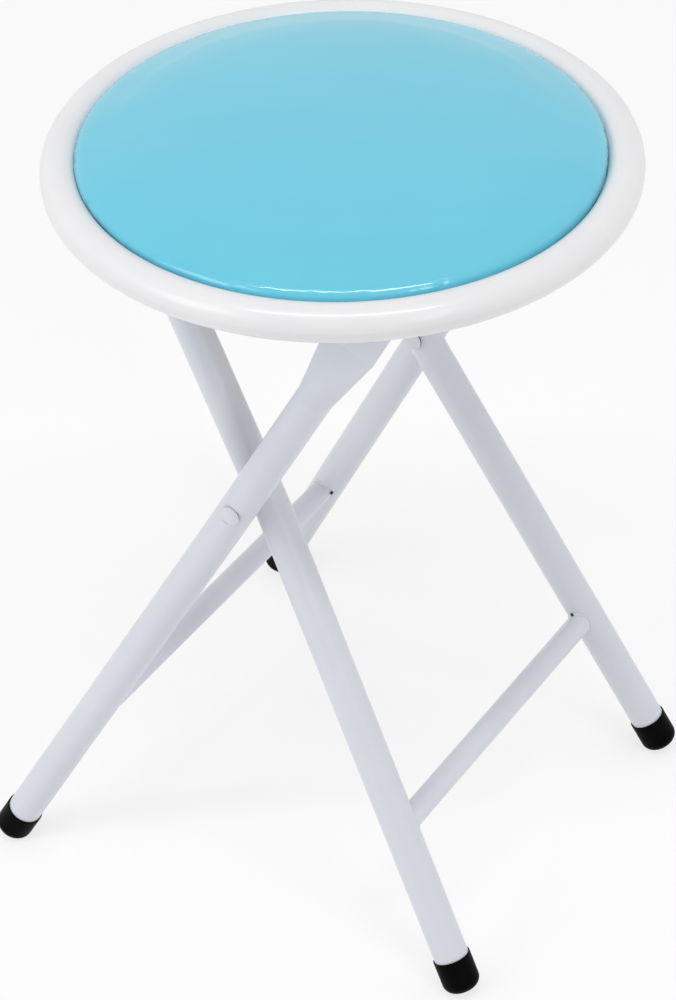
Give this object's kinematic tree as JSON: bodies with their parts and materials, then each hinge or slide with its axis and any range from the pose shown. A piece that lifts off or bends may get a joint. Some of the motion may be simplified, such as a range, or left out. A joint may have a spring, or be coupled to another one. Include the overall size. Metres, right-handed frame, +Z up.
{
  "type": "folding stool",
  "caption": "Round padded folding stool: vinyl cushion in a bent tube ring on two crossed, splayed tube frames that fold flat.",
  "frame": {"origin": "on the floor, under the middle of the round seat", "axes": "+Z up; the pivot axis is along Y; +X towards the side where the seat is hinged to the outer legs"},
  "size_m": [0.3, 0.3, 0.4409],
  "materials": {
    "ring_paint": "gloss white paint",
    "frame_paint": "satin pale grey-blue powder coat",
    "rivet_steel": "zinc plated",
    "screw_steel": "zinc plated",
    "plywood": "raw plywood",
    "foam": "open foam, hidden",
    "vinyl": "gloss turquoise vinyl",
    "cap_rubber": "satin black",
    "nylon": "natural nylon"
  },
  "bodies": {
    "outer_frame": {"outer_leg_near": "frame_paint", "outer_leg_far": "frame_paint", "outer_rung": "frame_paint", "foot_cap_outer_near": "cap_rubber", "foot_cap_outer_far": "cap_rubber", "pivot_rivet_near": "frame_paint", "pivot_rivet_far": "frame_paint", "pivot_spacer_near": "nylon", "pivot_spacer_far": "nylon"},
    "inner_frame": {"inner_hoop": "frame_paint", "inner_rung": "frame_paint", "foot_cap_inner_near": "cap_rubber", "foot_cap_inner_far": "cap_rubber"},
    "seat": {"seat_ring": "ring_paint", "hinge_strap": "frame_paint", "catch_strap": "frame_paint", "hinge_bracket_near": "frame_paint", "hinge_bracket_far": "frame_paint", "catch_hook_near": "frame_paint", "catch_hook_far": "frame_paint", "hinge_rivet_near": "rivet_steel", "hinge_rivet_far": "rivet_steel", "seat_board": "plywood", "cushion_foam": "foam", "cushion_cover": "vinyl", "board_screws": "screw_steel"}
  },
  "joints": [
    {"name": "leg_fold", "type": "hinge", "parent": "outer_frame", "child": "inner_frame", "pos_m": [-0.0021, 0, 0.2635], "axis": [0, 1, 0], "range_deg": [0, 51]},
    {"name": "seat_fold", "type": "hinge", "parent": "outer_frame", "child": "seat", "pos_m": [0.0722, 0, 0.392], "axis": [0, 1, 0], "range_deg": [0, 117.5]}
  ],
  "couplings": [
    {"joint": "seat_fold", "follows": "leg_fold", "ratio": 2.3}
  ]
}
